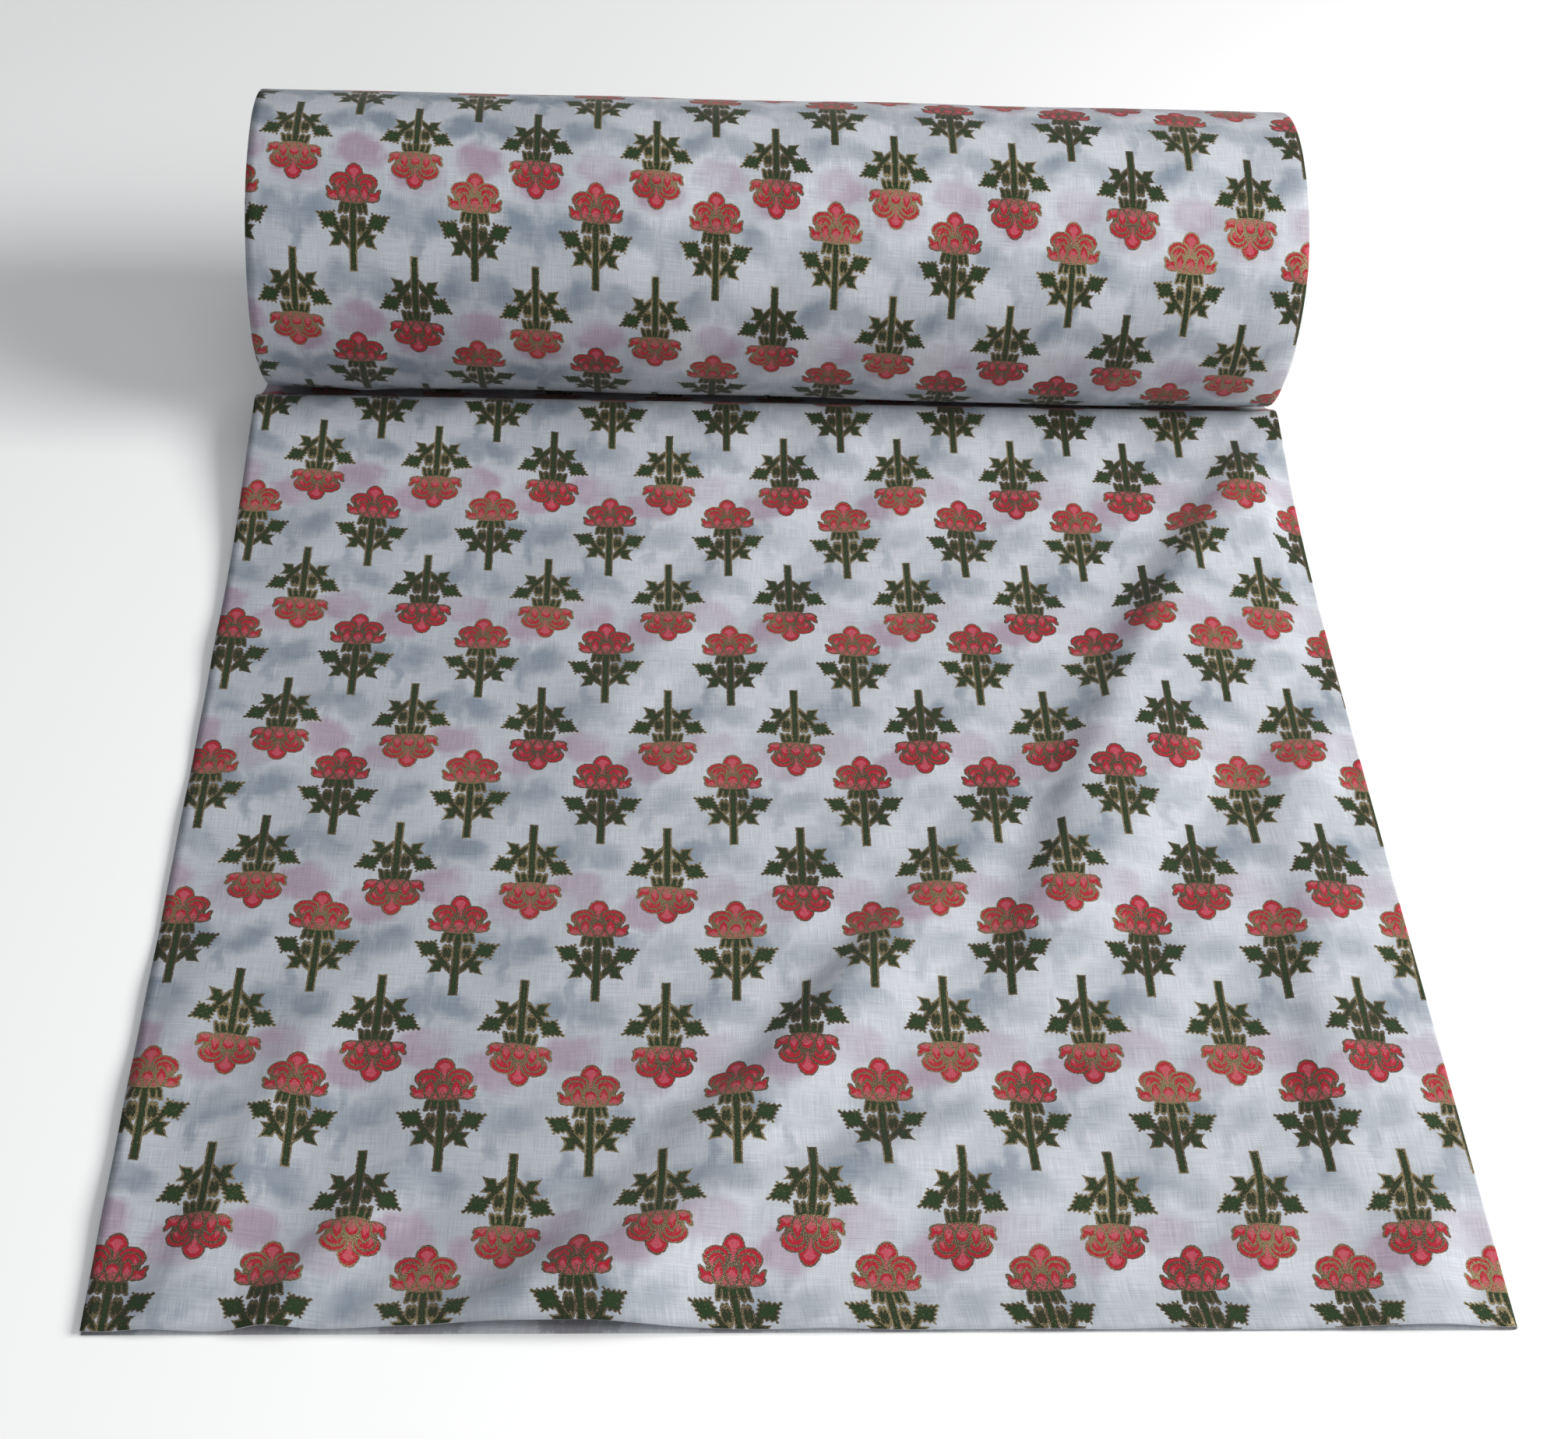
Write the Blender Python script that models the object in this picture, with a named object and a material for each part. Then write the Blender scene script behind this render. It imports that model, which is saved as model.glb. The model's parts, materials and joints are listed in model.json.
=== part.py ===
"""Fabric bolt: doubled cotton cloth wound on a cardboard tube, with its free length laid out in front.

One web of cloth is folded in half along its length. The fold is on the right (+X), the two selvedges
are on the left. The laid length lies flat towards -Y. It passes under the roll, up its back and over
its top, so the ply that is underneath on the table is the outer ply on the roll.

Metres, +Z up. The origin is on the table, under the middle of the whole object.
The roll turns about an axis along X.
"""

import math

import bmesh
import bpy
from mathutils import Matrix

# Cloth
CLOTH_WIDTH = 0.560  # the doubled cloth, from selvedges to fold
DRAW_IN = 0.004  # how far the tension of winding draws each edge in
LAID_LENGTH = 0.620  # from the line where the roll touches down to the cut end
TUCK_LENGTH = 0.012  # what lies flat behind that line, where a real roll sinks in
PLY_THICKNESS = 0.0004

# Roll
ROLL_RADIUS = 0.080
CORE_BORE_RADIUS = 0.019
CORE_WALL = 0.003
WINDING_PACKS = ("winding_inner", "winding_middle", "winding_outer")

# Tape that holds the first turn on the tube
TAPE_MARGIN = 0.026  # from each end of the tube
TAPE_WIDTH = 0.025
TAPE_THICKNESS = 0.0002

# Fits
GAP = 0.0003  # between neighbours that touch on the real object
FACETS = 72
FOLD_FACETS = 8
TAPE_FACETS = 12
SHARP_ANGLE = math.radians(40)

# Places that follow from those sizes
FOLD_RADIUS = PLY_THICKNESS + GAP / 2
STACK_HEIGHT = 2 * FOLD_RADIUS
OVERALL_DEPTH = LAID_LENGTH + ROLL_RADIUS
AXIS_Y = OVERALL_DEPTH / 2 - ROLL_RADIUS
AXIS_Z = STACK_HEIGHT + GAP + ROLL_RADIUS
FRONT_Y = -OVERALL_DEPTH / 2
BACK_Y = AXIS_Y + TUCK_LENGTH
FOLD_X = CLOTH_WIDTH / 2 - FOLD_RADIUS
WOUND_WIDTH = CLOTH_WIDTH - 2 * DRAW_IN
CORE_LENGTH = WOUND_WIDTH
TAPE_LENGTH = CORE_LENGTH - 2 * TAPE_MARGIN
CORE_RADIUS = CORE_BORE_RADIUS + CORE_WALL
TAPE_RADIUS = CORE_RADIUS + GAP


def clear_scene():
    for obj in list(bpy.data.objects):
        bpy.data.objects.remove(obj, do_unlink=True)


def material(name, colour, roughness):
    made = bpy.data.materials.new(name)
    made.use_nodes = True
    shader = made.node_tree.nodes["Principled BSDF"]
    shader.inputs["Base Color"].default_value = (*colour, 1.0)
    shader.inputs["Roughness"].default_value = roughness
    shader.inputs["Metallic"].default_value = 0.0
    made.diffuse_color = (*colour, 1.0)
    return made


def add_object(name, shape, finish, parent=None):
    """A named object from a bmesh. Its origin is the parent's, or the world's."""
    bmesh.ops.recalc_face_normals(shape, faces=shape.faces)
    mesh = bpy.data.meshes.new(name)
    shape.to_mesh(mesh)
    shape.free()
    mesh.shade_smooth()
    mesh.set_sharp_from_angle(angle=SHARP_ANGLE)
    mesh.materials.append(finish)
    obj = bpy.data.objects.new(name, mesh)
    obj.parent = parent
    bpy.context.scene.collection.objects.link(obj)
    return obj


def add_flat_ply(name, bottom_z, finish):
    """One ply of the laid length, from its selvedge to just short of the fold."""
    left_x = -CLOTH_WIDTH / 2
    right_x = FOLD_X - GAP
    size = (right_x - left_x, BACK_Y - FRONT_Y, PLY_THICKNESS)
    middle = ((left_x + right_x) / 2, (FRONT_Y + BACK_Y) / 2, bottom_z + PLY_THICKNESS / 2)
    shape = bmesh.new()
    bmesh.ops.create_cube(shape, size=1, matrix=Matrix.LocRotScale(middle, None, size))
    return add_object(name, shape, finish)


def arc(radius, start, end, facets):
    """Points (across, up) on an arc, from the start angle to the end angle."""
    turns = [start + (end - start) * step / facets for step in range(facets + 1)]
    return [(radius * math.cos(turn), radius * math.sin(turn)) for turn in turns]


def curved_strip(inner_radius, outer_radius, start, end, facets):
    """The flat outline between two arcs about one centre, as one loop of (across, up) points."""
    outer = arc(outer_radius, start, end, facets)
    inner = arc(inner_radius, end, start, facets)
    return outer + inner


def extrude_outline(points, direction):
    """A solid from an outline of 3-D points, drawn out along a direction."""
    shape = bmesh.new()
    face = shape.faces.new([shape.verts.new(point) for point in points])
    drawn = bmesh.ops.extrude_face_region(shape, geom=[face], use_keep_orig=True)
    moved = [item for item in drawn["geom"] if isinstance(item, bmesh.types.BMVert)]
    bmesh.ops.translate(shape, verts=moved, vec=direction)
    return shape


def add_fold(finish):
    """The lengthwise fold, which joins the upper ply to the lower one along the right-hand edge."""
    outline = curved_strip(GAP / 2, FOLD_RADIUS, -math.pi / 2, math.pi / 2, FOLD_FACETS)
    points = [(FOLD_X + across, FRONT_Y, FOLD_RADIUS + up) for across, up in outline]
    shape = extrude_outline(points, (0, BACK_Y - FRONT_Y, 0))
    return add_object("laid_fold", shape, finish)


def add_sleeve(name, inner_radius, outer_radius, length, finish, parent):
    """A round sleeve along X, with its middle on the parent's origin."""
    shape = bmesh.new()
    upright = Matrix.Rotation(math.pi / 2, 4, "Y")
    place = Matrix.Translation((-length / 2, 0, 0)) @ upright
    for radius in (inner_radius, outer_radius):
        bmesh.ops.create_circle(shape, cap_ends=False, radius=radius, segments=FACETS, matrix=place)
    ring = bmesh.ops.bridge_loops(shape, edges=shape.edges)["faces"]
    drawn = bmesh.ops.extrude_face_region(shape, geom=ring, use_keep_orig=True)
    moved = [item for item in drawn["geom"] if isinstance(item, bmesh.types.BMVert)]
    bmesh.ops.translate(shape, verts=moved, vec=(length, 0, 0))
    return add_object(name, shape, finish, parent)


def add_tape(finish, parent):
    """The strip of paper tape along the tube, under the first turn."""
    half_turn = TAPE_WIDTH / TAPE_RADIUS / 2
    start = math.pi / 2 - half_turn
    end = math.pi / 2 + half_turn
    outline = curved_strip(TAPE_RADIUS, TAPE_RADIUS + TAPE_THICKNESS, start, end, TAPE_FACETS)
    points = [(-TAPE_LENGTH / 2, across, up) for across, up in outline]
    shape = extrude_outline(points, (TAPE_LENGTH, 0, 0))
    return add_object("start_tape", shape, finish, parent)


def add_winding(finish, parent):
    """The turns between the tape and the last turn, in equal packs. Each pack stands for many turns."""
    first_radius = TAPE_RADIUS + TAPE_THICKNESS + GAP
    last_radius = ROLL_RADIUS - STACK_HEIGHT - GAP
    count = len(WINDING_PACKS)
    pack = (last_radius - first_radius - (count - 1) * GAP) / count
    for index, name in enumerate(WINDING_PACKS):
        inner = first_radius + index * (pack + GAP)
        add_sleeve(name, inner, inner + pack, WOUND_WIDTH, finish, parent)


def add_last_turn(finish, parent):
    """The outermost turn, as its two plies."""
    outside = ROLL_RADIUS - PLY_THICKNESS
    inside = ROLL_RADIUS - STACK_HEIGHT
    add_sleeve("last_turn_lower_ply", outside, ROLL_RADIUS, WOUND_WIDTH, finish, parent)
    add_sleeve("last_turn_upper_ply", inside, inside + PLY_THICKNESS, WOUND_WIDTH, finish, parent)


def build():
    clear_scene()
    cloth = material("printed_cambric", (0.80, 0.84, 0.88), 0.85)
    card = material("core_board", (0.52, 0.39, 0.25), 0.80)
    paper = material("paper_tape", (0.83, 0.78, 0.64), 0.60)

    add_flat_ply("laid_lower_ply", 0, cloth)
    add_flat_ply("laid_upper_ply", PLY_THICKNESS + GAP, cloth)
    add_fold(cloth)

    roll_axis = bpy.data.objects.new("roll_axis", None)
    roll_axis.location = (0, AXIS_Y, AXIS_Z)
    bpy.context.scene.collection.objects.link(roll_axis)
    add_sleeve("core_tube", CORE_BORE_RADIUS, CORE_RADIUS, CORE_LENGTH, card, roll_axis)
    add_tape(paper, roll_axis)
    add_winding(cloth, roll_axis)
    add_last_turn(cloth, roll_axis)


build()
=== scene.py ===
"""Looks of the fabric bolt: thin printed cambric, folded double, rolled on a tube and partly laid out.

The web of cloth is drawn as what it is: a sheet folded lengthwise, with a thickness, laid flat and then
wound in a spiral. Its print is worked out in the material, from distances to each petal and leaf.
"""

import json
import math

import bpy
import numpy as np
from mathutils import Matrix, Vector


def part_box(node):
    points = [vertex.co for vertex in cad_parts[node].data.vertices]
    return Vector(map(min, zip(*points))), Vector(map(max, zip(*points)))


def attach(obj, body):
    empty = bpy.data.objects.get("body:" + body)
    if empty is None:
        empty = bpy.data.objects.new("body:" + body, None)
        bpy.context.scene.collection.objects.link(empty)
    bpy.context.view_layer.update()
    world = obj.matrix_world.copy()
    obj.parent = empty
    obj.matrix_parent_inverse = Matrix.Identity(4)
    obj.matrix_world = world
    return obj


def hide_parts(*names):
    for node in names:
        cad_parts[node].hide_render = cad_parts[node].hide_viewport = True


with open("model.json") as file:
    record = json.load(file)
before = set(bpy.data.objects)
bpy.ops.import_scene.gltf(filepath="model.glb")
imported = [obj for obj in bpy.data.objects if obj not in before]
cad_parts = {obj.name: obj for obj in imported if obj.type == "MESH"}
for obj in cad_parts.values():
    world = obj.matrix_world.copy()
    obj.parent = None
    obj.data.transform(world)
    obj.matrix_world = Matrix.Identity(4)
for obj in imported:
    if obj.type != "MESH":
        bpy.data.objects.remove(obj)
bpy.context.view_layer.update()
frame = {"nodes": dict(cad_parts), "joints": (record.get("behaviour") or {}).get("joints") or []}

# Places and sizes, all read from the frame
HINGE = frame["joints"][0]
AXIS_Y, AXIS_Z = HINGE["pos_m"][1:]
TURN_LOW, TURN_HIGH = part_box("last_turn_lower_ply")
ROLL_RADIUS = (TURN_HIGH.z - TURN_LOW.z) / 2
WOUND_HALF = TURN_HIGH.x
LAID_LOW, LAID_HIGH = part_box("laid_upper_ply")
LEFT_X = LAID_LOW.x
FOLD_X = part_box("laid_fold")[1].x
FRONT_Y, BACK_Y = LAID_LOW.y, LAID_HIGH.y
LAID_TOP = LAID_HIGH.z

# Cloth
PLY = 0.00036  # thickness of one ply as drawn
HALF_SPLIT = 0.00026  # from the middle of the wound pair to the middle of each ply
TURN_PITCH = 0.00117  # from one doubled turn to the next
SLACK = 0.0009  # how loosely the last turn sits on the ones beneath it
WOUND_TURNS = 46
SOFT_FOLD = 0.0011  # radius of the lengthwise fold where the cloth lies loose
WAVE_HEIGHT = 0.024  # of the slack in front of the roll, where nothing holds it down
WAVE_TOP = 0.024  # and the most that it reaches

# Print, in metres on the cloth
COLUMN = 0.06168
ROW = 0.0915
UPRIGHT_DROP = 0.0128  # from a hanging flower's row to the upright flowers' row
LAID_FIRST_COLUMN = -0.2412
LAID_FIRST_ROW = 0.1235
LAID_SKEW = 0.004
ROLL_FIRST_COLUMN = -0.2495
ROLL_FIRST_ROW = 0.2010
ROLL_SKEW = 0.0647


# ---------------------------------------------------------------- shader maths


OBJECT_PLACE = 3  # which output of the texture coordinate node holds the object's own coordinates


class Link:
    """A socket of a node tree, with arithmetic."""

    def __init__(self, maker, socket):
        self.maker = maker
        self.socket = socket

    def __add__(self, other):
        return self.maker.maths("ADD", self, other)

    def __radd__(self, other):
        return self.maker.maths("ADD", other, self)

    def __sub__(self, other):
        return self.maker.maths("SUBTRACT", self, other)

    def __rsub__(self, other):
        return self.maker.maths("SUBTRACT", other, self)

    def __mul__(self, other):
        return self.maker.maths("MULTIPLY", self, other)

    def __rmul__(self, other):
        return self.maker.maths("MULTIPLY", other, self)

    def __truediv__(self, other):
        return self.maker.maths("DIVIDE", self, other)

    def __neg__(self):
        return self.maker.maths("MULTIPLY", self, -1)

    def __abs__(self):
        return self.maker.maths("ABSOLUTE", self)

    def __lt__(self, other):
        return self.maker.maths("LESS_THAN", self, other)

    def __gt__(self, other):
        return self.maker.maths("GREATER_THAN", self, other)

    def step(self, low, high):
        """0 at low and 1 at high, smoothly between them. High may be below low."""
        values = {"Value": self, "From Min": low, "From Max": high}
        return self.maker.node("ShaderNodeMapRange", {"interpolation_type": "SMOOTHSTEP"}, values)


class Maker:
    """Makes the nodes of one material."""

    def __init__(self, name):
        self.material = bpy.data.materials.new(name)
        self.material.use_nodes = True
        self.tree = self.material.node_tree
        self.shader = self.tree.nodes["Principled BSDF"]

    def put(self, socket, value):
        if isinstance(value, Link):
            self.tree.links.new(value.socket, socket)
        elif socket.type == "RGBA" and len(value) == 3:
            socket.default_value = (*value, 1.0)
        else:
            socket.default_value = value

    def node(self, kind, settings=None, values=None, output=0):
        """A new node: its settings first, then its sockets' values or links. Returns one output."""
        made = self.tree.nodes.new(kind)
        for name, setting in (settings or {}).items():
            setattr(made, name, setting)
        for name, value in (values or {}).items():
            self.put(made.inputs[name], value)
        return Link(self, made.outputs[output])

    def maths(self, operation, *values):
        return self.node("ShaderNodeMath", {"operation": operation}, dict(enumerate(values)))

    def least(self, *values):
        found = values[0]
        for value in values[1:]:
            found = self.maths("MINIMUM", found, value)
        return found

    def most(self, *values):
        found = values[0]
        for value in values[1:]:
            found = self.maths("MAXIMUM", found, value)
        return found

    def choose(self, share, off, on):
        """A number: off where share is 0, on where it is 1."""
        return self.node("ShaderNodeMix", {"data_type": "FLOAT"}, {0: share, 2: off, 3: on})

    def blend(self, share, off, on, mode="MIX"):
        """A colour: off where share is 0, on where it is 1."""
        settings = {"data_type": "RGBA", "blend_type": mode}
        return self.node("ShaderNodeMix", settings, {0: share, 6: off, 7: on}, 2)

    def point(self, x, y, z=0.0):
        return self.node("ShaderNodeCombineXYZ", None, {0: x, 1: y, 2: z})

    def part(self, vector, index):
        return self.node("ShaderNodeSeparateXYZ", None, {0: vector}, index)

    def shift(self, vector, offset, scale=(1, 1, 1)):
        """The vector times scale, plus offset."""
        settings = {"operation": "MULTIPLY_ADD"}
        return self.node("ShaderNodeVectorMath", settings, {0: vector, 1: scale, 2: offset})

    def noise(self, vector, scale, detail=2.0, output=0):
        values = {"Vector": vector, "Scale": scale, "Detail": detail}
        return self.node("ShaderNodeTexNoise", None, values, output)

    def place(self):
        """The spot on the object, in metres."""
        return self.node("ShaderNodeTexCoord", None, None, OBJECT_PLACE)

    def bump(self, height, strength, depth):
        values = {"Strength": strength, "Distance": depth, "Height": height}
        return self.node("ShaderNodeBump", None, values)

    def finish(self, **values):
        """Puts values on the shader's sockets, by name with _ for a space."""
        for name, value in values.items():
            self.put(self.shader.inputs[name.replace("_", " ")], value)
        return self.material


# ---------------------------------------------------------------- the print

MM = 0.001
FLOWER_TOP = 12.3  # from the middle of a flower's head to its top, mm
STEM_END = 44.4  # and to the cut end of its stem

# Each petal, from the back of the flower to its front: its kind, then centre, turn in degrees,
# half width and half height in mm. They are mirrored about the stem.
PETALS = (
    ("round", (0.0, -1.4), 0, 10.6, 7.0),
    ("round", (0.0, 6.0), 0, 4.6, 6.3),
    ("round", (6.7, 2.0), -10, 5.5, 4.7),
    ("round", (6.3, 0.7), -10, 3.8, 3.5),
    ("round", (0.0, -6.2), 0, 9.6, 3.4),
    ("curl", (9.0, -6.0), 0, 4.5, 2.7),
    ("point", (5.6, -3.9), 3, 2.3, 5.0),
    ("shield", (0.0, -4.0), 0, 2.9, 3.2),
)
FOIL_LINE = 0.52  # half the width of the foil round each petal
CRIMSON_LINE = 1.85  # how far in from a petal's edge its crimson reaches
SIDE_CURVE = 0.84  # 1 gives a leaf straight sides, and less makes them hollow
TOOTH_WIDTH = 1.7
SEPAL_HALF = 1.5
# Pale bands: partly less show-through of the ply behind, partly painted light
PALE_BAND = 0.06  # where the pale bands start, as a share of a column
THREAD_STEP = 0.66  # from thread to thread, as drawn

CRIMSON = (0.34, 0.006, 0.022)
PINK = (0.45, 0.058, 0.096)
LEAF_EDGE = (0.020, 0.024, 0.010)
LEAF_HEART = (0.014, 0.034, 0.010)
# Foil: the gold of its painted glint, then the brown between its grains
FOIL_GLINT = (0.32, 0.26, 0.135)
FOIL_DULL = (0.045, 0.031, 0.019)


def placed(maker, spot, centre, turn, half_width, half_height):
    """The spot in a shape's own terms, where the shape's outline is one unit from its middle."""
    values = {
        "Vector": spot,
        "Location": (*centre, 0.0),
        "Rotation": (0.0, 0.0, math.radians(turn)),
        "Scale": (half_width, half_height, 1.0),
    }
    return maker.node("ShaderNodeMapping", {"vector_type": "TEXTURE"}, values)


def length(maker, vector):
    return maker.node("ShaderNodeVectorMath", {"operation": "LENGTH"}, {0: vector}, 1)


def distance(maker, vector, centre):
    return maker.node("ShaderNodeVectorMath", {"operation": "DISTANCE"}, {0: vector, 1: centre}, 1)


def oval(maker, spot, centre, turn, half_width, half_height):
    """Distance in mm from an oval's edge, below 0 inside."""
    own = placed(maker, spot, centre, turn, half_width, half_height)
    return (length(maker, own) - 1) * min(half_width, half_height)


def pointed(maker, spot, centre, turn, half_width, half_height):
    """Distance in mm from the edge of a shape between two arcs that meet in a point at each end."""
    own = placed(maker, spot, centre, turn, 1.0, 1.0)
    radius = (half_width**2 + half_height**2) / (2 * half_width)
    folded = maker.point(abs(maker.part(own, 0)), maker.part(own, 1))
    return distance(maker, folded, (half_width - radius, 0.0, 0.0)) - radius


def diamond(maker, spot, centre, turn, half_width, half_height, teeth=0.0):
    """Distance in mm from the edge of a shape with four corners and slightly hollow sides.

    teeth is how deep its sides are cut, in mm.
    """
    own = placed(maker, spot, centre, turn, half_width, half_height)
    across, up = abs(maker.part(own, 0)), abs(maker.part(own, 1))
    hollow = maker.maths("POWER", across, SIDE_CURVE) + maker.maths("POWER", up, SIDE_CURVE)
    edge = (hollow - 1) * (half_width * half_height / math.hypot(half_width, half_height))
    if teeth:
        along_side = (across - up) * half_width + 0.6
        tooth = maker.maths("PINGPONG", along_side, TOOTH_WIDTH)
        edge = edge + (tooth - TOOTH_WIDTH / 2) * teeth
    return edge


def petal(maker, spot, kind, centre, turn, half_width, half_height):
    if kind == "point":
        return pointed(maker, spot, centre, turn, half_width, half_height)
    body = oval(maker, spot, centre, turn, half_width, half_height)
    if kind == "round":
        return body
    if kind == "shield":
        tail = pointed(maker, spot, (centre[0], centre[1] - 1.6), 0, 2.2, 4.0)
        return maker.least(body, tail)
    tip = oval(maker, spot, (centre[0] + 2.9, centre[1] + 1.7), 58, 3.1, 1.3)
    return maker.least(body, tip)


def flower_head(maker, spot, y):
    """Three values for the flower's head: the distance from its edge, below 0 inside; the distance
    from the nearest line between petals; and how far up its own petal the spot is.
    """
    edge_of_all, line, lift = 100.0, 100.0, 0.0
    for kind, centre, turn, half_width, half_height in PETALS:
        edge = petal(maker, spot, kind, centre, turn, half_width, half_height)
        inside = edge < 0
        line = maker.choose(inside, maker.least(line, edge), -edge)
        lift = maker.choose(inside, lift, (y - centre[1]) / half_height)
        edge_of_all = maker.least(edge_of_all, edge)
    return edge_of_all, line, lift


def greenery(maker, spot, x, y):
    """Two distances in mm, below 0 inside: from the edge of the stem with its branches, leaves and
    calyx, and from the seams between the calyx's sepals.
    """
    stem = maker.most(x - 1.85, abs(y + 29.0) - 15.4)
    branch = oval(maker, spot, (5.7, -26.0), 55, 8.6, 1.7)
    leaf = diamond(maker, spot, (12.3, -18.8), 30, 7.7, 5.6, 0.62)
    small = maker.least(
        diamond(maker, spot, (8.2, -26.9), 26, 4.6, 2.9),
        diamond(maker, spot, (8.2, -29.4), -38, 5.0, 2.8),
    )
    bars = maker.point(abs(x - 4.3), y)
    leaflet = oval(maker, bars, (0.85, -20.9), 0, 1.55, 4.6)
    fan = x + (y + 10.5) * 0.16
    sepal = maker.maths("PINGPONG", fan, SEPAL_HALF)
    fringe = maker.most(oval(maker, maker.point(sepal, y), (0.0, -12.1), 0, 1.75, 3.1), fan - 7.0)
    cup = maker.most(abs(y + 10.8) - 2.1, fan - 6.6)
    calyx = maker.least(fringe, cup)
    seams = oval(maker, maker.point(sepal, y), (SEPAL_HALF, -12.8), 0, 0.42, 2.4)
    return maker.least(stem, branch, leaf, small, leaflet, calyx), seams


def lattice(maker, across, down):
    """The nearest flower's own place for a spot of the cloth, in mm from its head, up towards its top.

    Columns of hanging flowers alternate with columns of upright ones, half a column over.
    """
    column, row, drop = COLUMN / MM, ROW / MM, UPRIGHT_DROP / MM
    hanging_x = maker.maths("WRAP", across, column / 2, -column / 2)
    upright_x = maker.maths("WRAP", across - column / 2, column / 2, -column / 2)
    lowest = -STEM_END - 0.5
    level = maker.maths("WRAP", down, row + lowest, lowest)
    nearer = abs(upright_x) < abs(hanging_x)
    stem_tail = level < (drop + STEM_END + 0.5 - row)
    shared = maker.most(level > (drop - FLOWER_TOP - 0.8), stem_tail)
    upright = maker.most(level > (FLOWER_TOP + 0.8), shared * nearer)
    x = maker.choose(upright, hanging_x, upright_x)
    y = maker.choose(upright, level, drop - (level + stem_tail * row))
    return x, y


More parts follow.
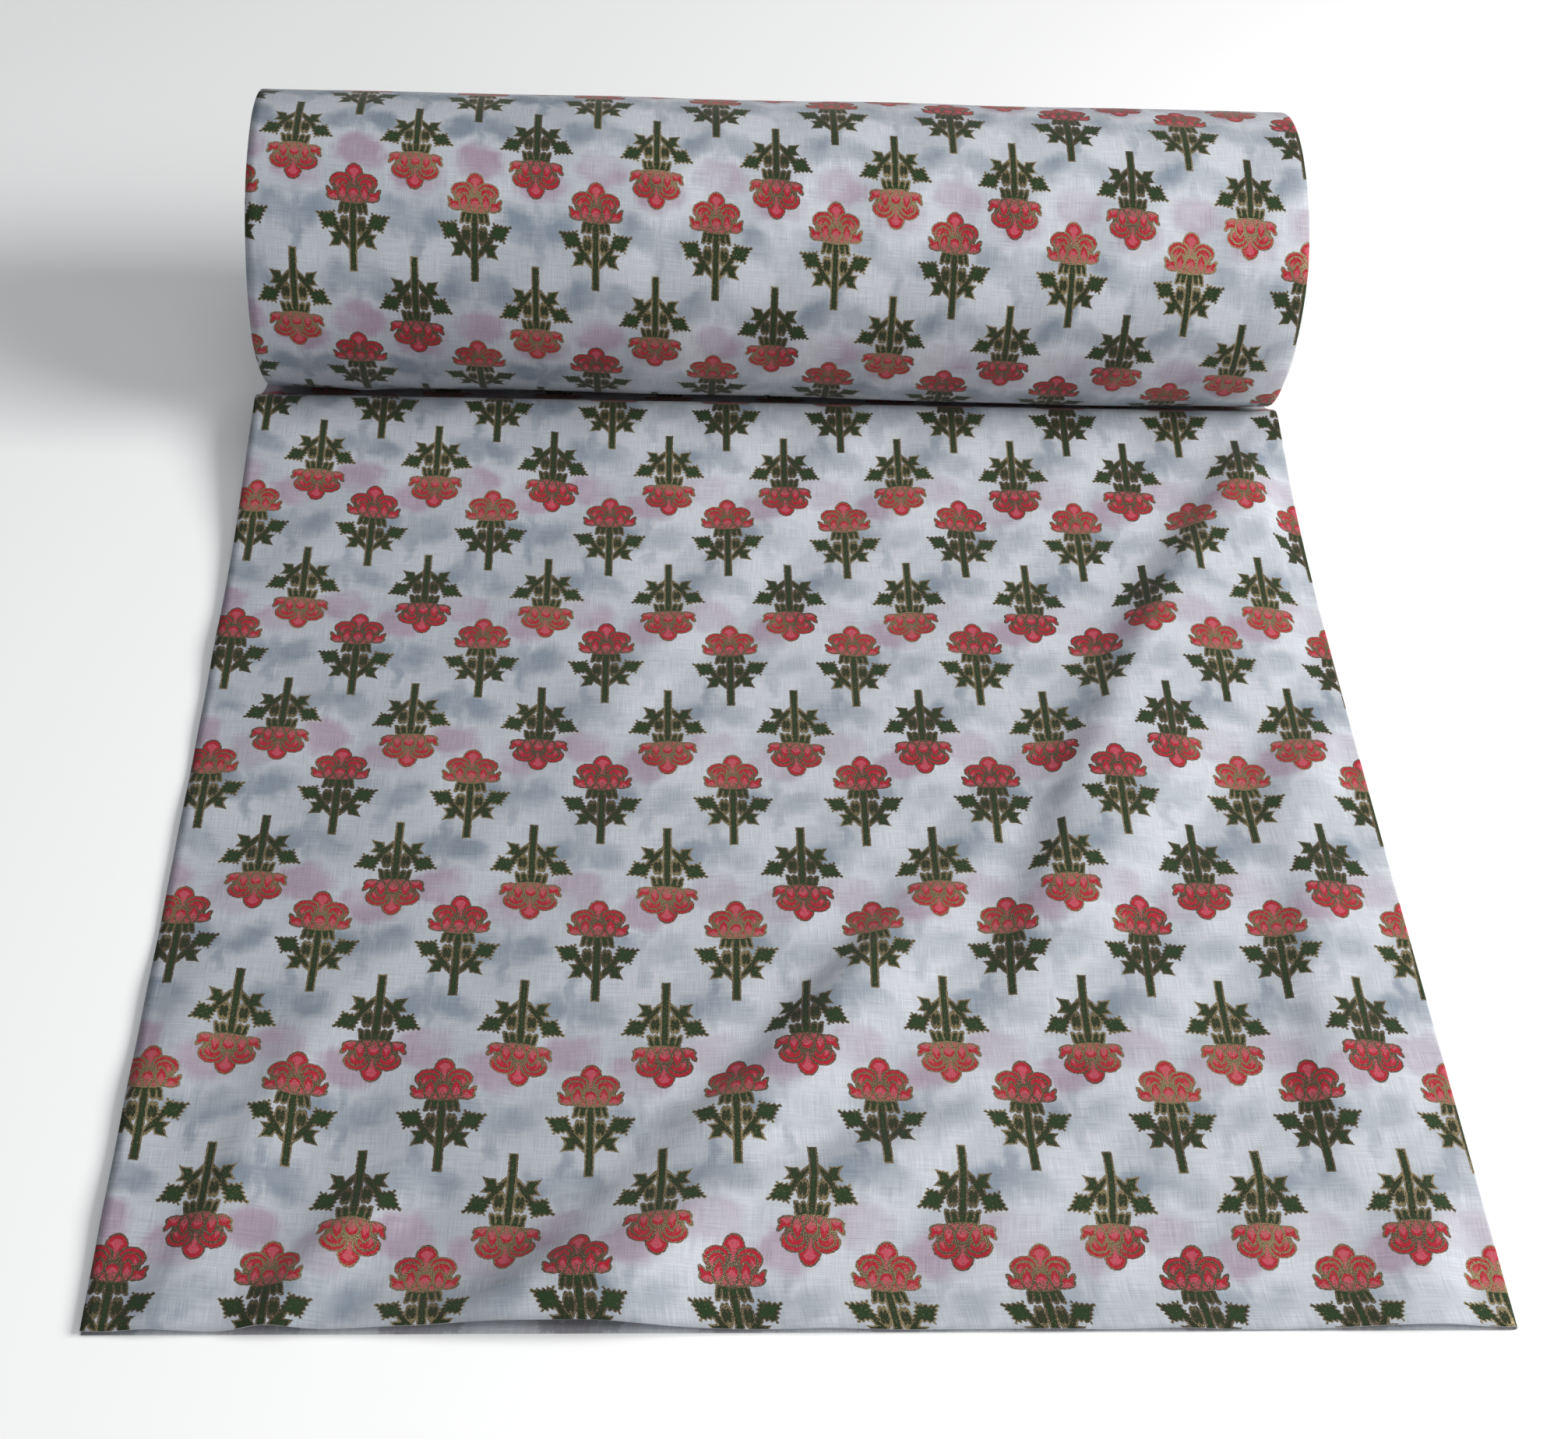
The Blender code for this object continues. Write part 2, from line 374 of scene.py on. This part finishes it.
def printed_cloth(name, ghost_shift, strength=1.0, ghosts=1.0):
    """Cambric with its print. The ply behind shows through, blurred, at its own shift in mm."""
    maker = Maker(name)
    place = maker.node("ShaderNodeUVMap", {"uv_map": "web"}, None)
    flat = maker.shift(place, (0, 0, 0), (1 / MM, 1 / MM, 0))

    # Uneven edges of the printed colour
    waver = maker.noise(flat, 0.8, 1.0, 1)
    spot = maker.shift(waver, flat, (0.9, 0.9, 0.0))
    across = maker.part(spot, 0) - 0.45
    down = maker.part(spot, 1) - 0.45

    x, y = lattice(maker, across, down)
    x = abs(x)
    own = maker.point(x, y)
    head_edge, line, lift = flower_head(maker, own, y)
    leaf_edge, seams = greenery(maker, own, x, y)

    grain = maker.noise(flat, 1.5, 2.0)
    speckle = maker.noise(flat, 2.3, 1.0)

    # Flower colours
    crimson_line = FOIL_LINE + (CRIMSON_LINE - FOIL_LINE) * lift.step(-0.5, 0.4)
    crimson_share = line.step(crimson_line + 0.2, crimson_line - 0.2)
    head_colour = maker.blend(crimson_share, PINK, CRIMSON)
    leaf_colour = maker.blend(leaf_edge.step(-0.9, -1.6), LEAF_EDGE, LEAF_HEART)

    # Foil: an outline on every petal and leaf, and stipple towards each petal's foot
    foot = lift.step(0.3, -0.9)
    outline = maker.most(line.step(FOIL_LINE + 0.1, FOIL_LINE - 0.2), head_edge.step(-0.52, -0.28))
    stipple = (grain + foot * 0.13).step(0.56, 0.62)
    head_foil = maker.most(outline, stipple * 0.9)
    rim = leaf_edge.step(-0.66, -0.38)
    leaf_foil = maker.most(rim, seams.step(0.25, -0.1), grain.step(0.62, 0.66) * 0.8)

    head_ink = head_edge.step(0.28, 0.05)
    leaf_ink = leaf_edge.step(0.30, 0.05)
    ink_colour = maker.blend(head_ink, leaf_colour, head_colour)
    foil = maker.choose(head_ink, leaf_foil, head_foil)
    ink = maker.most(head_ink, leaf_ink) * strength

    # Foil: grains of gold with dark brown between them. The gold is a painted glint, denser in patches,
    # where it stands for the foil catching the light; the same mask makes it metallic.
    patches = maker.noise(flat, 0.018, 1.0).step(0.38, 0.60)
    painted_glint = (speckle + patches * 0.13).step(0.54, 0.67)
    gold = maker.blend(painted_glint, FOIL_DULL, FOIL_GLINT)
    ink_colour = maker.blend(foil, ink_colour, gold)

    # Threads: thick and thin places along both directions of the weave
    warp = maker.noise(maker.shift(flat, (0, 0, 0), (2.6, 0.07, 0)), 1.0, 2.0)
    weft = maker.noise(maker.shift(flat, (0, 0, 0), (0.07, 2.6, 0)), 1.0, 2.0)
    slub = warp + weft - 1.0
    turn = 2 * math.pi / THREAD_STEP
    over = maker.maths("SINE", maker.part(flat, 0) * turn)
    under = maker.maths("SINE", maker.part(flat, 1) * turn)
    weave = over * under
    cloudy = maker.noise(flat, 0.016, 2.0)

    # The ply behind, as soft patches of its flowers and leaves
    soft = maker.noise(flat, 0.10, 3.0, 1)
    behind_x = maker.part(flat, 0) - ghost_shift[0] + maker.part(soft, 0) * 13.0 - 6.5
    behind_y = maker.part(flat, 1) - ghost_shift[1] + maker.part(soft, 1) * 13.0 - 6.5
    ghost_x, ghost_y = lattice(maker, behind_x, behind_y)
    behind = maker.point(abs(ghost_x), ghost_y)
    ghost_head = oval(maker, behind, (0.0, 1.0), 0, 14.0, 11.5).step(2.5, -4.5)
    ghost_leaf = oval(maker, behind, (10.0, -22.0), 34, 12.5, 8.0).step(3.5, -5.0)
    ghost_stem = oval(maker, behind, (0.0, -28.0), 0, 3.4, 18.0).step(1.5, -2.0)
    near = maker.noise(flat, 0.030, 2.0).step(0.32, 0.58) * 0.6 + 0.4

    # Paler ground in bands from one flower to the next: partly where the ply behind stands off and
    # shows through less, partly painted light standing for the lit sides of the cloth's ripples
    sloping = maker.part(flat, 0) / (COLUMN / MM) + maker.part(flat, 1) / (ROW / MM) - PALE_BAND
    band = maker.maths("SINE", (sloping + maker.part(soft, 0) * 0.2 - 0.1) * (2 * math.pi))
    pale = band.step(-0.9, 0.9) * maker.part(flat, 0).step(120.0, 190.0)
    near = near * (1 - pale * 0.45) * ghosts
    leafy = maker.most(ghost_leaf, ghost_stem * 0.8) * near
    light = maker.most(cloudy.step(0.35, 0.65) * 0.5, pale)
    ground = maker.blend(light, (0.350, 0.372, 0.408), (0.480, 0.500, 0.535))
    ground = maker.blend(leafy * 0.90, ground, (0.175, 0.215, 0.265))
    ground = maker.blend(ghost_head * near * 0.85, ground, (0.300, 0.225, 0.290))
    thread = 1.0 + slub * 0.60 + weave * 0.07
    ground = maker.blend(1.0, ground, maker.point(thread, thread, thread), "MULTIPLY")

    colour = maker.blend(ink, ground, ink_colour)
    shiny = foil * ink
    rough = maker.choose(shiny * 0.9, 0.88, 0.38) + grain * 0.06

    # Surface: the weave and its slubs
    height = slub * 0.16 + weave * 0.035 + speckle * 0.05
    return maker.finish(
        Base_Color=colour,
        Roughness=rough,
        Metallic=shiny * painted_glint * 0.75,
        Normal=maker.bump(height, 0.55, 1.0 * MM),
        Sheen_Weight=0.10,
        Sheen_Roughness=0.5,
        Specular_IOR_Level=0.22,
    )


def plain_cloth(name):
    """The cambric as it shows at the roll's ends, in the edges of many turns."""
    maker = Maker(name)
    place = maker.place()
    fibres = maker.noise(place, 900.0, 3.0)
    bands = maker.noise(place, 60.0, 2.0)
    colour = maker.blend(bands.step(0.35, 0.65), (0.50, 0.52, 0.55), (0.58, 0.60, 0.63))
    tinted = maker.noise(place, 420.0, 1.0).step(0.62, 0.74)
    colour = maker.blend(tinted * 0.30, colour, (0.42, 0.20, 0.21))
    leafy = maker.noise(maker.shift(place, (7, 3, 1)), 380.0, 1.0).step(0.64, 0.74)
    colour = maker.blend(leafy * 0.30, colour, (0.16, 0.20, 0.12))
    bump = maker.bump(fibres, 0.5, 0.4 * MM)
    return maker.finish(Base_Color=colour, Roughness=0.9 - fibres * 0.1, Normal=bump, Sheen_Weight=0.1)


def core_board(name):
    """Brown board wound in a spiral, with its seam, long fibres and paler flecks."""
    maker = Maker(name)
    place = maker.place()
    x = maker.part(place, 0)
    y = maker.part(place, 1) - AXIS_Y
    z = maker.part(place, 2) - AXIS_Z
    around = maker.maths("ARCTAN2", z, y)
    wound = x / 0.085 + around / (2 * math.pi)
    seam = abs(maker.maths("WRAP", wound, 0.5, -0.5)).step(0.012, 0.0)
    fibres = maker.noise(maker.shift(place, (0, 0, 0), (90, 700, 700)), 1.0, 3.0)
    flecks = maker.noise(place, 420.0, 2.0)
    colour = maker.blend(fibres.step(0.3, 0.7), (0.26, 0.165, 0.090), (0.40, 0.275, 0.165))
    colour = maker.blend(flecks.step(0.62, 0.72) * 0.5, colour, (0.52, 0.40, 0.27))
    colour = maker.blend(seam * 0.75, colour, (0.13, 0.080, 0.045))
    height = fibres * 0.4 + flecks * 0.2 - seam
    bump = maker.bump(height, 0.5, 0.3 * MM)
    return maker.finish(Base_Color=colour, Roughness=0.78 + fibres * 0.14, Normal=bump)


def creped_tape(name):
    """Cream paper tape with fine crossways crepe."""
    maker = Maker(name)
    place = maker.place()
    crepe = maker.noise(maker.shift(place, (0, 0, 0), (1400, 220, 220)), 1.0, 3.0)
    colour = maker.blend(crepe.step(0.3, 0.7), (0.55, 0.49, 0.34), (0.68, 0.62, 0.46))
    bump = maker.bump(crepe, 0.6, 0.2 * MM)
    return maker.finish(Base_Color=colour, Roughness=0.55 + crepe * 0.2, Normal=bump)


# ---------------------------------------------------------------- cloth as geometry


def smooth_step(value, low, high):
    share = np.clip((value - low) / (high - low), 0, 1)
    return share * share * (3 - 2 * share)


def sheet_mesh(name, middle, uv, finishes):
    """A closed sheet, PLY thick, about a grid of points. Its first face side is the printed side."""
    rows, columns = middle.shape[:2]
    along = np.gradient(middle, axis=0)
    across = np.gradient(middle, axis=1)
    normal = np.cross(across, along)
    normal /= np.linalg.norm(normal, axis=2, keepdims=True)
    front = middle + normal * PLY / 2
    rear = middle - normal * PLY / 2
    points = np.concatenate([front.reshape(-1, 3), rear.reshape(-1, 3)])
    number = np.arange(rows * columns).reshape(rows, columns)
    a, b = number[:-1, :-1], number[:-1, 1:]
    c, d = number[1:, 1:], number[1:, :-1]
    face_front = np.stack([a, b, c, d], -1).reshape(-1, 4)
    face_rear = face_front[:, ::-1] + rows * columns
    ring = np.concatenate([number[0, :-1], number[:-1, -1], number[-1, :0:-1], number[:0:-1, 0]])
    nxt = np.roll(ring, -1)
    rim = np.stack([nxt, ring, ring + rows * columns, nxt + rows * columns], -1)
    faces = np.concatenate([face_front, face_rear, rim])
    mesh = bpy.data.meshes.new(name)
    mesh.from_pydata(points.tolist(), [], faces.tolist())
    layer = mesh.uv_layers.new(name="web")
    places = np.concatenate([uv.reshape(-1, 2)] * 2)
    layer.uv.foreach_set("vector", places[faces.ravel()].astype(np.float32).ravel())
    for finish in finishes:
        mesh.materials.append(finish)
    slots = np.zeros(len(faces), np.int32)
    slots[len(face_front) :] = len(finishes) - 1
    mesh.polygons.foreach_set("material_index", slots)
    mesh.polygons.foreach_set("use_smooth", np.ones(len(faces), bool))
    mesh.update()
    obj = bpy.data.objects.new(name, mesh)
    bpy.context.scene.collection.objects.link(obj)
    return obj


def ridge(x, y, start, end, bow, height, width, far_width):
    """Height of a soft fold from start to end, bowed sideways, tapered at both ends.

    width is the reach of its slope on the roll's side of its line, far_width on the other.
    """
    start, end = np.array(start), np.array(end)
    line = end - start
    size = np.linalg.norm(line)
    line = line / size
    share = ((x - start[0]) * line[0] + (y - start[1]) * line[1]) / size
    side = (x - start[0]) * -line[1] + (y - start[1]) * line[0]
    side = side - bow * 4 * share * (1 - share)
    reach = np.where(side > 0, width, far_width)
    taper = smooth_step(share, -0.15, 0.25) * smooth_step(share, 1.15, 0.75)
    return height * taper * np.exp(-((side / reach) ** 2))


# Folds of the laid cloth: start, end, bow, height, reach on the roll's side and on the other. Metres.
# x is across from the middle, y is from the touching line towards the front.
LAID_FOLDS = (
    ((0.272, 0.080), (0.105, 0.440), 0.014, 0.0100, 0.015, 0.046),
    ((0.060, 0.400), (-0.115, 0.610), -0.006, 0.0080, 0.013, 0.040),
    ((0.085, 0.525), (-0.140, 0.622), 0.006, 0.0070, 0.013, 0.030),
    ((-0.010, 0.585), (-0.210, 0.632), 0.0, 0.0036, 0.010, 0.018),
    ((-0.205, 0.470), (-0.262, 0.640), 0.0, 0.0036, 0.009, 0.016),
    ((-0.165, 0.550), (-0.220, 0.640), 0.004, 0.0042, 0.009, 0.014),
    ((-0.255, 0.430), (-0.292, 0.600), 0.0, 0.0026, 0.010, 0.014),
    ((0.240, 0.330), (0.225, 0.560), 0.0, 0.0035, 0.012, 0.016),
)


def undulation(x, y):
    """The faint ripple of unpressed cloth, from 0 up."""
    ripple = 0.00050
    # Each wave: its share, its pace across and along, and where it starts
    waves = ((1.0, 86, 52, 0.6), (0.7, 61, -33, 2.1), (0.5, 19, 117, 4.0), (0.4, 140, 90, 1.0))
    total = sum(share * np.sin(u * x + v * y + start) for share, u, v, start in waves)
    return ripple * (total + sum(wave[0] for wave in waves))


def laid_rise(x, v):
    """How far the laid upper ply stands above lying flat. v is from the touching line.

    Besides its folds it lifts a little beside the lengthwise fold.
    """
    rise = undulation(x, v)
    for start, end, bow, height, width, far_width in LAID_FOLDS:
        rise = rise + ridge(x, v, start, end, bow, height, width, far_width)
    lift, lift_at, lift_reach = 0.0035, 0.252, 0.024
    uneven = 0.75 + 0.25 * np.sin(23 * v + 0.5)
    swell = lift * np.exp(-(((x - lift_at) / lift_reach) ** 2)) * uneven
    return (rise + swell) * smooth_step(v, 0.050, 0.110)


def slack_wave(x, v):
    """Height of the slack that stands in front of the roll. Both plies rise together in it."""
    clear, softness, reach, crest = 0.0046, 0.0020, 0.055, 0.075
    lower_at_right = 0.22
    open_height = WAVE_HEIGHT * (1 - lower_at_right * smooth_step(x, -0.20, 0.10))
    free = open_height * np.exp(-(v - crest) / reach)
    free = WAVE_TOP * np.tanh(free / WAVE_TOP)
    under_roll = AXIS_Z - np.sqrt(ROLL_RADIUS**2 - np.clip(v, 0, 0.99 * ROLL_RADIUS) ** 2) - clear
    under_roll = np.where(v < 0, AXIS_Z - ROLL_RADIUS - clear, under_roll)
    lowest = -softness * np.logaddexp(-free / softness, -under_roll / softness)
    return np.maximum(lowest, 0) * smooth_step(v, 0.002, 0.020)


def travelled(grid, axis):
    """Length along the cloth from the grid's first row or column."""
    steps = np.linalg.norm(np.diff(grid, axis=axis), axis=2)
    return np.insert(np.cumsum(steps, axis=axis), 0, 0, axis=axis)


def laid_grid():
    """Middle surface of the laid web: across the upper ply, round the fold, back under it."""
    fold_kept = 0.0035  # how much of the ply by the fold stays down near the front
    upper_x = np.linspace(LEFT_X, FOLD_X - SOFT_FOLD - PLY / 2, 130)
    lower_x = np.linspace(FOLD_X - SOFT_FOLD - PLY / 2, LEFT_X, 24)
    turns = np.linspace(math.pi / 2, -math.pi / 2, 9)[1:-1]
    stations = np.linspace(FRONT_Y, BACK_Y, 150)
    x_row = np.concatenate([upper_x, upper_x[-1] + SOFT_FOLD * np.cos(turns), lower_x])
    x, y = np.meshgrid(x_row, stations)
    v = AXIS_Y - y
    low_z = PLY / 2
    fold_z = low_z + SOFT_FOLD
    upper_count, fold_count = len(upper_x), len(turns)
    z = np.full_like(x, low_z)
    flat_z = LAID_TOP - PLY / 2
    top_x, top_v = x[:, :upper_count], v[:, :upper_count]
    rise = laid_rise(top_x, top_v)
    pressed = smooth_step(top_v, 0.40, 0.60) * fold_kept
    inward = FOLD_X - SOFT_FOLD - top_x
    near_fold = smooth_step(inward, pressed, pressed + 0.020)
    top_z = flat_z + (rise * near_fold) + (fold_z + SOFT_FOLD - flat_z) * (1 - near_fold)
    held = smooth_step(top_v, 0.0, 0.05)
    tight_fold = (flat_z - low_z) / 2
    z[:, :upper_count] = flat_z + (top_z - flat_z) * held
    centre = low_z + tight_fold + (SOFT_FOLD - tight_fold) * held[:, -1:]
    radius = tight_fold + (SOFT_FOLD - tight_fold) * held[:, -1:]
    z[:, upper_count : upper_count + fold_count] = centre + radius * np.sin(turns)
    z = z + slack_wave(x, v)
    middle = np.stack([x, y, z], -1)
    across = LEFT_X + travelled(middle, 1)
    along = AXIS_Y - FRONT_Y - travelled(middle, 0)
    edge_drift = 0.004 * smooth_step(across, -0.17, -0.28)  # the print sags towards the left edge
    uv = np.stack(
        [across - LAID_FIRST_COLUMN, along + edge_drift - LAID_FIRST_ROW - LAID_SKEW * across], -1
    )
    return middle, uv


def spiral_radius(turns):
    """Middle of the doubled web after so many turns inwards from the touching line."""
    outside = ROLL_RADIUS - HALF_SPLIT - PLY / 2
    slack = SLACK * smooth_step(turns, 0.55, 1.0)
    return outside - turns * TURN_PITCH - slack


def roll_swell(x, turns):
    """How far the last turn stands out from a true spiral."""
    angle = turns * 2 * math.pi
    wave = np.sin(47 * x + 2.0 * angle) + 0.8 * np.sin(33 * x - 3.0 * angle + 1.0)
    swell = 0.00022 * wave
    deepest = -0.00025  # further in, it would cut the turn beneath
    # Soft bulges: place along the roll, place round it in turns, reach each way, height
    for place, at, width, reach, height in (
        (-0.222, 0.850, 0.010, 0.075, 0.0015),
        (0.262, 0.80, 0.016, 0.10, 0.0010),
        (0.170, 0.875, 0.170, 0.065, 0.0030),
        (-0.262, 0.62, 0.018, 0.09, 0.0009),
    ):
        swell = swell + height * np.exp(-(((x - place) / width) ** 2) - ((turns - at) / reach) ** 2)
    return np.maximum(swell, deepest) * smooth_step(turns, 0.0, 0.08)


def web_on_roll(stations, outer_x, left_wander, right_wander, swell=None):
    """Middle surface of the wound web, from the outer ply's edge round the fold to the inner ply's."""
    turns_of_fold = np.linspace(math.pi / 2, -math.pi / 2, 5)[1:-1]
    fold_x = outer_x[-1]
    ply = np.ones(len(outer_x))
    x_row = np.concatenate([outer_x, fold_x + HALF_SPLIT * np.cos(turns_of_fold), outer_x[::-1]])
    layer = np.concatenate([ply, np.sin(turns_of_fold), -ply])
    share = (x_row - x_row[0]) / (fold_x - x_row[0])
    x = x_row + (1 - share) * left_wander[:, None] + share * right_wander[:, None]
    turns = np.repeat(stations[:, None], len(x_row), axis=1)
    radius = spiral_radius(turns) + layer * HALF_SPLIT
    if swell:
        radius = radius + swell(x, turns)
    angle = turns * 2 * math.pi
    y = AXIS_Y + radius * np.sin(angle)
    z = AXIS_Z - radius * np.cos(angle)
    return np.stack([x, y, z], -1), x, turns


def wander(stations, seed, reach, pace):
    """A smooth random drift of an edge, as cloth winds on unevenly."""
    chance = np.random.default_rng(seed)
    knots = chance.uniform(-reach, reach, int(stations[-1] * pace) + 4)
    return np.interp(stations * pace, np.arange(len(knots)), knots)


def last_turn_grid():
    """The web's last turn, which carries the roll's printed face."""
    stations = np.linspace(0.0, 1.06, 150)
    outer_x = np.linspace(-WOUND_HALF, WOUND_HALF - HALF_SPLIT - PLY / 2, 112)
    left = 0.0030 + wander(stations, 3, 0.0012, 9)
    right = -0.0012 + wander(stations, 4, 0.0010, 9)
    middle, x, turns = web_on_roll(stations, outer_x, left, right, roll_swell)
    up_front = (1.0 - turns) * 2 * math.pi * ROLL_RADIUS
    uv = np.stack([x - ROLL_FIRST_COLUMN, ROLL_FIRST_ROW - up_front - ROLL_SKEW * x], -1)
    return middle[::-1], uv[::-1]


def wound_grid():
    """All the turns beneath the last one, down to the tube."""
    first, steps = 1.04, 60
    stations = np.arange(first, first + WOUND_TURNS, 1 / steps)
    outer_x = np.array([-1, -0.985, -0.4, 0.4, 0.985, 1]) * (WOUND_HALF - 0.0012)
    left = 0.0022 + wander(stations, 11, 0.0012, 3) + wander(stations, 12, 0.0003, 15)
    right = wander(stations, 13, 0.0010, 3) + wander(stations, 14, 0.0003, 15)
    middle, x, turns = web_on_roll(stations, outer_x, left, right)
    uv = np.stack([x, turns], -1)
    return middle, uv


# ---------------------------------------------------------------- pieces


def make_pieces():
    laid_print = printed_cloth("laid_print", (21.0, -6.0))
    roll_print = printed_cloth("roll_print", (-28.9, -8.2), ghosts=1.1)
    wrong_side = printed_cloth("wrong_side", (9.0, 20.0), strength=0.30, ghosts=0.4)

    middle, uv = laid_grid()
    laid = sheet_mesh("laid_web", middle, uv, (laid_print, wrong_side))
    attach(laid, "laid_length")
    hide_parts("laid_upper_ply", "laid_lower_ply", "laid_fold")

    middle, uv = last_turn_grid()
    turn = sheet_mesh("last_turn", middle, uv, (roll_print, wrong_side))
    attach(turn, "roll")
    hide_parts("last_turn_lower_ply", "last_turn_upper_ply")

    middle, uv = wound_grid()
    wound = sheet_mesh("wound_turns", middle, uv, (plain_cloth("cloth_edges"),))
    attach(wound, "roll")
    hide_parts("winding_inner", "winding_middle", "winding_outer")

    dress("core_tube", core_board("spiral_board"))
    dress("start_tape", creped_tape("creped_paper"))


def dress(node, finish):
    slots = frame["nodes"][node].material_slots
    for slot in slots:
        slot.link = "OBJECT"
        slot.material = finish


# ---------------------------------------------------------------- stage


def add_floor():
    floor_drop = 0.0002
    mesh = bpy.data.meshes.new("floor")
    size = 6.0
    around = ((-size, -size), (size, -size), (size, size), (-size, size))
    corners = [(x, y, -floor_drop) for x, y in around]
    mesh.from_pydata(corners, [], [(0, 1, 2, 3)])
    maker = Maker("pale_floor")
    mesh.materials.append(maker.finish(Base_Color=(0.93, 0.93, 0.93), Roughness=0.8))
    floor = bpy.data.objects.new("floor", mesh)
    bpy.context.scene.collection.objects.link(floor)


def add_light(name, place, target, size, power, colour=(1, 1, 1)):
    lamp = bpy.data.lights.new(name, "AREA")
    lamp.shape = "RECTANGLE"
    lamp.size, lamp.size_y = size
    lamp.energy = power
    lamp.color = colour
    light = bpy.data.objects.new(name, lamp)
    towards = Vector(target) - Vector(place)
    facing = towards.to_track_quat("-Z", "Y").to_matrix().to_4x4()
    light.matrix_world = Matrix.Translation(place) @ facing
    bpy.context.scene.collection.objects.link(light)


def add_lights():
    middle = (0, 0, 0.03)
    add_light("window", (1.85, -0.35, 1.30), middle, (1.3, 1.1), 66, (1.0, 0.99, 0.97))
    add_light("front", (0.5, -2.2, 1.25), middle, (2.2, 1.4), 15, (0.98, 0.99, 1.0))
    add_light("overhead", (-0.2, 0.3, 2.4), middle, (2.0, 1.6), 15, (0.96, 0.98, 1.0))
    world = bpy.context.scene.world or bpy.data.worlds.new("World")
    bpy.context.scene.world = world
    world.use_nodes = True
    sky = world.node_tree.nodes["Background"]
    sky.inputs["Color"].default_value = (0.93, 0.96, 1.0, 1.0)
    sky.inputs["Strength"].default_value = 0.16
    bpy.context.scene.view_settings.view_transform = "Standard"


def add_camera():
    """Looks down at the bolt from in front, a little to its left."""
    pitch, yaw, roll = (math.radians(angle) for angle in (44.79, -4.346, 3.633))
    ahead = Vector((0, math.cos(pitch), -math.sin(pitch)))
    right = Vector((1, 0, 0))
    down = ahead.cross(right)
    level = Matrix((right, down, ahead)) @ Matrix(
        ((math.cos(yaw), math.sin(yaw), 0), (-math.sin(yaw), math.cos(yaw), 0), (0, 0, 1))
    )
    tilt = Matrix(
        ((math.cos(roll), -math.sin(roll), 0), (math.sin(roll), math.cos(roll), 0), (0, 0, 1))
    )
    right, down, ahead = tilt @ level
    lens = bpy.data.cameras.new("camera")
    lens.sensor_width = 36.0
    lens.lens = 55.58
    camera = bpy.data.objects.new("camera", lens)
    place = Vector((-0.06322, AXIS_Y - 1.118, 0.8325))
    facing = Matrix((right, -down, -ahead)).transposed()
    camera.matrix_world = Matrix.Translation(place) @ facing.to_4x4()
    bpy.context.scene.collection.objects.link(camera)
    bpy.context.scene.camera = camera


add_camera()
add_floor()
add_lights()
make_pieces()
